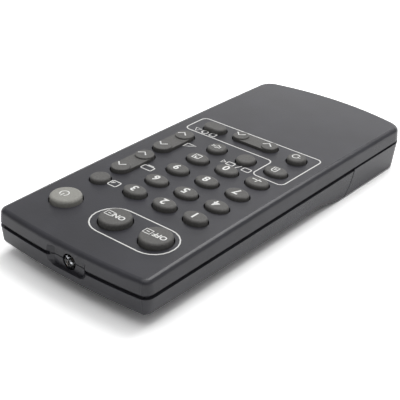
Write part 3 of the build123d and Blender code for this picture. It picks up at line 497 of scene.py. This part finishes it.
def arc(middle, radius, start, end):
    """Points on an arc, from one angle in degrees to another."""
    count = max(3, math.ceil(abs(end - start) / ARC_RUN_DEGREES))
    angles = [math.radians(start + (end - start) * n / count) for n in range(count + 1)]
    return [(middle[0] + radius * math.cos(a), middle[1] + radius * math.sin(a)) for a in angles]


def rectangle(left, low, right, high):
    """The corners of an upright rectangle, in order round it."""
    return [(left, low), (right, low), (right, high), (left, high)]


def closed(line):
    """A line that runs back to its first point."""
    return line + line[:1]


def lay_print(shape, name, middle, surface, body):
    """Lay a flat mesh on the surface that carries it, whose height is a function of y."""
    for vertex in shape.data.vertices:
        y = middle[1] + vertex.co.y
        lift = INK_THICK_MM if vertex.co.z > UNDERSIDE_MM else -INK_THICK_MM
        vertex.co = (MM * (middle[0] + vertex.co.x), MM * y, MM * (surface(y) + lift))
    shape.name = name
    shape.data.materials.clear()
    shape.data.materials.append(ink)
    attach(shape, body)


def print_on_key(shape, name, key, shift):
    """Print on the top of a key, shifted from its middle in millimetres."""
    low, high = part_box(key)
    middle = ((low.x + high.x) / 2 / MM + shift[0], (low.y + high.y) / 2 / MM + shift[1])
    lay_print(shape, name, middle, lambda y: high.z / MM, key)


for digit in "1234567890":
    print_on_key(letters(digit, DIGIT_HEIGHT), "print_key_" + digit, "key_" + digit, LEGEND_SHIFT)
print_on_key(letters("-/--", TWO_DIGIT_HEIGHT), "print_key_two_digit", "key_two_digit", LEGEND_SHIFT)

page_glyph = [closed(rectangle(-1.35, -1.1, 1.35, 1.1)), [(-0.6, 0.0), (0.6, 0.0)]]
for word, word_shift, page_shift in (("on", (-1.3, -0.2), (2.5, -0.2)),
                                     ("off", (-1.35, -0.1), (3.15, -0.1))):
    print_on_key(letters(word.upper(), WORD_HEIGHT), "print_" + word, "key_text_" + word, word_shift)
    print_on_key(strokes(page_glyph, PAGE_LINE), "print_" + word + "_page", "key_text_" + word, page_shift)

# a ring with a stroke, a framed query mark, a speaker and a cross, a leaf with lines, and a turning arrow
power_glyph = [arc((0, 0), 1.45, 125, 415), [(0, 0.1), (0, 1.75)]]
reveal_glyph = [closed(rectangle(-1.3, -1.3, 1.3, 1.3)),
                arc((0, 0.3), 0.5, 160, -70), [(0, -0.75), (0, -0.95)]]
mute_glyph = [closed([(-1.6, -0.5), (-0.9, -0.5), (-0.1, -1.2), (-0.1, 1.2), (-0.9, 0.5), (-1.6, 0.5)]),
              [(0.5, -0.6), (1.7, 0.6)], [(0.5, 0.6), (1.7, -0.6)]]
sub_page_glyph = [closed([(-1.0, -1.4), (1.0, -1.4), (1.0, 0.7), (0.3, 1.4), (-1.0, 1.4)]),
                  [(-0.4, 0.2), (0.4, 0.2)], [(-0.4, -0.5), (0.4, -0.5)]]
recall_glyph = [arc((0, 0), 1.25, 150, -150), [(-1.85, 0.15), (-1.08, 0.62), (-0.85, -0.25)]]
for key, glyph, shift in (("power", power_glyph, POWER_SHIFT), ("reveal", reveal_glyph, LEGEND_SHIFT),
                          ("mute", mute_glyph, LEGEND_SHIFT), ("sub_page", sub_page_glyph, LEGEND_SHIFT),
                          ("recall", recall_glyph, LEGEND_SHIFT)):
    print_on_key(strokes(glyph, GLYPH_LINE), "print_" + key, "key_" + key, shift)

chevron_up = [[(-1.7, -0.8), (0, 0.8), (1.7, -0.8)]]
chevron_down = [[(-1.7, 0.8), (0, -0.8), (1.7, 0.8)]]
for key, axis in (("rocker_channel", "y"), ("rocker_volume", "y"), ("rocker_page", "x")):
    for sign, chevron, word in ((1, chevron_up, "up"), (-1, chevron_down, "down")):
        shift = list(CHEVRON_SHIFT[axis])
        shift["xy".index(axis)] += sign * CHEVRON_REACH[axis]
        print_on_key(strokes(chevron, CHEVRON_LINE), "print_" + key + "_" + word, key, shift)


# The outlines and small signs beside the keys are screen printed on the crowned
# top of the upper case in the same off-white ink, in lines of about 0.5 mm.

FRAME_LINE = 0.5
SIGN_LINE = 0.45
CORNER_STEPS = 6
TOP_MM = 16.6
CROWN_DROP_MM = 0.85
HALF_LENGTH_MM = 72.0
STADIUM_MIDDLE = (-9.5, 52.4)
STADIUM_HALF = 8.2
STADIUM_RADIUS = 7.4
LOWER_FRAME = [(25.1, -22.4), (-25.8, -22.4), (-25.8, 1.1), (-13.5, 0.9), (-13.5, -11.0), (25.1, -11.0)]
LOWER_CORNER = 2.0


def case_top(y):
    """Height of the crowned top of the case, in millimetres."""
    return TOP_MM - CROWN_DROP_MM * (y / HALF_LENGTH_MM) ** 2


def rounded_outline(corners, radius):
    """A closed outline through the corners, each of them rounded."""
    outline = []
    for n, corner in enumerate(corners):
        corner = Vector(corner)
        before = (Vector(corners[n - 1]) - corner).normalized()
        after = (Vector(corners[(n + 1) % len(corners)]) - corner).normalized()
        half = before.angle(after) / 2
        middle = corner + (before + after).normalized() * radius / math.sin(half)
        start, end = corner + before * radius / math.tan(half), corner + after * radius / math.tan(half)
        for step in range(CORNER_STEPS + 1):
            spoke = start.lerp(end, step / CORNER_STEPS) - middle
            outline.append(middle + spoke.normalized() * radius)
    return closed(outline)


def print_on_case(lines, width, name, middle):
    """Print lines on the crowned top of the case."""
    lay_print(strokes(lines, width), name, middle, case_top, "case")


stadium = arc((STADIUM_HALF, 0), STADIUM_RADIUS, -90, 90) + arc((-STADIUM_HALF, 0), STADIUM_RADIUS, 90, 270)
print_on_case([closed(stadium)], FRAME_LINE, "print_text_frame", STADIUM_MIDDLE)
print_on_case([rounded_outline(LOWER_FRAME, LOWER_CORNER)], FRAME_LINE, "print_page_frame", (0, 0))

picture_sign = [rounded_outline(rectangle(-1.8, -1.5, 1.8, 1.5), 0.6),
                closed([(0.1, -0.7), (1.1, -0.7), (1.1, 0.4)]), [(0.5, -0.6), (1.0, -0.1)]]
channel_sign = [rounded_outline(rectangle(-2.2, -1.0, 2.2, 1.4), 0.5), [(-1.2, -1.5), (1.2, -1.5)]]
volume_sign = [closed([(-1.9, -1.3), (1.7, -1.3), (1.7, 1.4)])]
mode_signs = [rounded_outline(rectangle(-4.6, -1.1, -2.4, 1.1), 0.3),
              arc((0, 0), 1.15, 0, 360), closed([(2.3, -1.0), (4.7, -1.0), (3.5, 1.15)])]
input_signs = [rounded_outline(rectangle(-5.8, -1.1, -2.8, 1.1), 0.4), [(-1.6, -1.2), (-0.5, 1.2)],
               rounded_outline(rectangle(0.9, -1.0, 3.7, 1.0), 0.4),
               closed([(5.7, -1.0), (4.4, 0), (5.7, 1.0)])]
for name, sign, place in (("picture_sign", picture_sign, (14.5, 35.8)),
                          ("channel_sign", channel_sign, (13.9, 20.6)),
                          ("volume_sign", volume_sign, (14.3, -0.7)),
                          ("mode_signs", mode_signs, (17.4, -12.9)),
                          ("input_signs", input_signs, (-6.6, 0.2))):
    print_on_case(sign, SIGN_LINE, "print_" + name, place)


# Two self tapping screws in the battery bay hold the halves together. They are
# zinc plated steel with a faintly yellow passivated skin.

ZINC = "#bdb9a8"
ZINC_TINT = "#b5a983"
ZINC_PATCH = 0.0012

zinc, zinc_shader, zinc_place = new_material("passivated_zinc_plate", {"Metallic": 1.0, "Roughness": 0.34})
bloom = add_node(zinc, "ShaderNodeTexNoise", {},
                 {"Vector": zinc_place, "Scale": 1 / ZINC_PATCH, "Detail": 2.0})
zinc_tone = add_node(zinc, "ShaderNodeMix", {"data_type": "RGBA"},
                     {0: bloom.outputs["Fac"], 6: linear(ZINC), 7: linear(ZINC_TINT)})
zinc.node_tree.links.new(zinc_tone.outputs[2], zinc_shader.inputs["Base Color"])
dress(zinc, "case_screws")


# The battery contacts are bent from thin spring strip and nickel plated. The
# strip keeps the fine lengthwise lines of its rolling under a warm bright skin.

NICKEL = "#b8b2a6"
NICKEL_PALER = "#ccc7bc"
ROLLED_LINE = 0.00025
ROLLED_LENGTH = 0.02

nickel, nickel_shader, nickel_place = new_material("rolled_nickel_strip",
                                                   {"Metallic": 1.0, "Roughness": 0.27})
line_scale = (1 / ROLLED_LINE, 1 / ROLLED_LENGTH, 1 / ROLLED_LINE)
drawn_out = add_node(nickel, "ShaderNodeMapping", {}, {"Vector": nickel_place, "Scale": line_scale})
rolled = add_node(nickel, "ShaderNodeTexNoise", {},
                  {"Vector": drawn_out.outputs[0], "Scale": 1.0, "Detail": 1.0})
nickel_tone = add_node(nickel, "ShaderNodeMix", {"data_type": "RGBA"},
                       {0: rolled.outputs["Fac"], 6: linear(NICKEL), 7: linear(NICKEL_PALER)})
nickel.node_tree.links.new(nickel_tone.outputs[2], nickel_shader.inputs["Base Color"])
rolled_bump = add_node(nickel, "ShaderNodeBump", {},
                       {"Height": rolled.outputs["Fac"], "Strength": 0.3, "Distance": 0.00001})
nickel.node_tree.links.new(rolled_bump.outputs["Normal"], nickel_shader.inputs["Normal"])
dress(nickel, "contact_bridge", "contact_positive", "contact_negative")


# The two cells are steel cans in a shrunk film jacket, dark with a copper band
# at the raised pole. The film stops short of both ends, where steel shows.

JACKET_DARK = "#26282b"
JACKET_COPPER = "#b4713c"
CELL_STEEL = "#b9babb"
CELL_SHIFT = 0.00225
JACKET_HALF = 0.0209
BAND_FROM = 0.0155


def cell_jacket(name, side):
    """Printed film on a steel can whose raised pole is towards side."""
    film, shader, place = new_material(name, {"Roughness": 0.24, "IOR": 1.5})
    across = add_node(film, "ShaderNodeSeparateXYZ", {}, {"Vector": place}).outputs["X"]
    along = add_node(film, "ShaderNodeMath", {"operation": "MULTIPLY"},
                     {0: across, 1: float(side)}).outputs[0]
    band = add_node(film, "ShaderNodeMath", {"operation": "GREATER_THAN"}, {0: along, 1: BAND_FROM})
    jacket = add_node(film, "ShaderNodeMix", {"data_type": "RGBA"},
                      {0: band.outputs[0], 6: linear(JACKET_DARK), 7: linear(JACKET_COPPER)})
    covered = add_node(film, "ShaderNodeMath", {"operation": "COMPARE"},
                       {0: along, 1: CELL_SHIFT, 2: JACKET_HALF})
    steel = add_node(film, "ShaderNodeMath", {"operation": "SUBTRACT"}, {0: 1.0, 1: covered.outputs[0]})
    tint = add_node(film, "ShaderNodeMix", {"data_type": "RGBA"},
                    {0: covered.outputs[0], 6: linear(CELL_STEEL), 7: jacket.outputs[2]})
    film.node_tree.links.new(tint.outputs[2], shader.inputs["Base Color"])
    film.node_tree.links.new(steel.outputs[0], shader.inputs["Metallic"])
    return film


dress(cell_jacket("jacketed_steel_cell_a", 1), "battery_cell_a")
dress(cell_jacket("jacketed_steel_cell_b", -1), "battery_cell_b")


# The battery cover closes the hand end from below and slides off along it. It
# is moulded in the same textured ABS as the casing, in a tool of its own.

COVER_GREY = "#39393e"
COVER_PALER = "#3e3e44"

cover_abs = spark_textured_abs("spark_textured_cover_abs", COVER_GREY, COVER_PALER)
dress(cover_abs, "battery_cover")


# The handset lies on a pale matt floor, under a softbox behind its hand end and two
# weaker ones above and beside it. The room is dim, most of all in front, and has a
# pale wall low down behind the hand end, which the casing mirrors at a low angle.

FLOOR_WHITE = "#f4f4f4"
# the floor is brighter to the camera, and a little in reflections, so that it shows as white
FLOOR_TO_CAMERA = (1.75, 1.75, 1.75, 1.0)
FLOOR_REFLECTED = (1.1, 1.1, 1.1, 1.0)
FLOOR_HALF = 2.0

bpy.ops.object.select_all(action="DESELECT")
bpy.ops.mesh.primitive_plane_add(size=2 * FLOOR_HALF)
floor = bpy.context.object
floor.name = "floor"
floor_paint, floor_shader, _ = new_material("matt_white_floor",
                                            {"Roughness": 0.9, "Specular IOR Level": 0.0})
ray = add_node(floor_paint, "ShaderNodeLightPath", {}, {})
reflected = add_node(floor_paint, "ShaderNodeMath", {"operation": "MAXIMUM"},
                     {0: ray.outputs["Is Glossy Ray"], 1: ray.outputs["Is Transmission Ray"]})
floor_tone = add_node(floor_paint, "ShaderNodeMix", {"data_type": "RGBA", "clamp_result": False},
                      {0: reflected.outputs[0], 6: linear(FLOOR_WHITE), 7: FLOOR_REFLECTED})
floor_tone = add_node(floor_paint, "ShaderNodeMix", {"data_type": "RGBA", "clamp_result": False},
                      {0: ray.outputs["Is Camera Ray"], 6: floor_tone.outputs[2], 7: FLOOR_TO_CAMERA})
floor_paint.node_tree.links.new(floor_tone.outputs[2], floor_shader.inputs["Base Color"])
floor.data.materials.append(floor_paint)

# directions in the room are unit vectors, so heights and spreads are sines and cosines
ROOM_DIM = 0.32
ROOM_FRONT = 0.21
ROOM_FRONT_FROM = 0.3
WALL_PALE = 1.15
WALL_TOP = (0.38, 0.31)
WALL_TOWARDS = (0.707, -0.707, 0.0)
WALL_SPREAD = (0.55, 0.75)
# each softbox has a name, a place and a width in metres, and a power in watts
SOFTBOXES = (("rear_lamp", (0.05, -0.5, 0.85), 0.7, 4.3),
             ("top_lamp", (-0.1, 0.1, 0.92), 1.0, 2.9),
             ("side_lamp", (0.42, -0.7, 0.8), 0.4, 0.4))

world = bpy.data.worlds.new("studio")
bpy.context.scene.world = world
world.use_nodes = True
room_way = add_node(world, "ShaderNodeTexCoord", {}, {}).outputs["Generated"]
room_axes = add_node(world, "ShaderNodeSeparateXYZ", {}, {"Vector": room_way})
room_tone = add_node(world, "ShaderNodeMapRange", {},
                     {"Value": room_axes.outputs["Y"], "From Min": 0.0, "From Max": ROOM_FRONT_FROM,
                      "To Min": ROOM_DIM, "To Max": ROOM_FRONT})
wall_low = add_node(world, "ShaderNodeMapRange", {},
                    {"Value": room_axes.outputs["Z"], "From Min": WALL_TOP[0], "From Max": WALL_TOP[1]})
room_turn = add_node(world, "ShaderNodeVectorMath", {"operation": "DOT_PRODUCT"},
                     {0: room_way, 1: WALL_TOWARDS}).outputs["Value"]
wall_wide = add_node(world, "ShaderNodeMapRange", {},
                     {"Value": room_turn, "From Min": WALL_SPREAD[0], "From Max": WALL_SPREAD[1]})
wall = add_node(world, "ShaderNodeMath", {"operation": "MULTIPLY"},
                {0: wall_low.outputs[0], 1: wall_wide.outputs[0]})
room = add_node(world, "ShaderNodeMath", {"operation": "MULTIPLY_ADD"},
                {0: wall.outputs[0], 1: WALL_PALE, 2: room_tone.outputs[0]})
background = world.node_tree.nodes["Background"]
background.inputs["Color"].default_value = linear("#ffffff")
world.node_tree.links.new(room.outputs[0], background.inputs["Strength"])

for name, place, width, power in SOFTBOXES:
    bpy.ops.object.light_add(type="AREA", location=place)
    softbox = bpy.context.object
    softbox.name = name
    softbox.data.shape = "SQUARE"
    softbox.data.size = width
    softbox.data.energy = power
    softbox.rotation_euler = (-softbox.location).to_track_quat("-Z", "Y").to_euler()

CAMERA_PLACE = (-0.182561, 0.237084, 0.168826)
CAMERA_TURN = math.radians(218.83)
CAMERA_DIP = math.radians(29.30)
CAMERA_ROLL = math.radians(1.95)
CAMERA_LENS_MM = 90.62
CAMERA_SENSOR_MM = 36.0
CAMERA_NEAR = 0.01
bpy.ops.object.camera_add(location=CAMERA_PLACE)
camera = bpy.context.object
turn = (Matrix.Rotation(CAMERA_TURN, 3, "Z") @ Matrix.Rotation(math.pi / 2 - CAMERA_DIP, 3, "X")
        @ Matrix.Rotation(CAMERA_ROLL, 3, "Z"))
camera.rotation_euler = turn.to_euler()
camera.data.lens = CAMERA_LENS_MM
camera.data.sensor_width = CAMERA_SENSOR_MM
camera.data.clip_start = CAMERA_NEAR
bpy.context.scene.camera = camera
bpy.context.scene.view_settings.view_transform = "Standard"
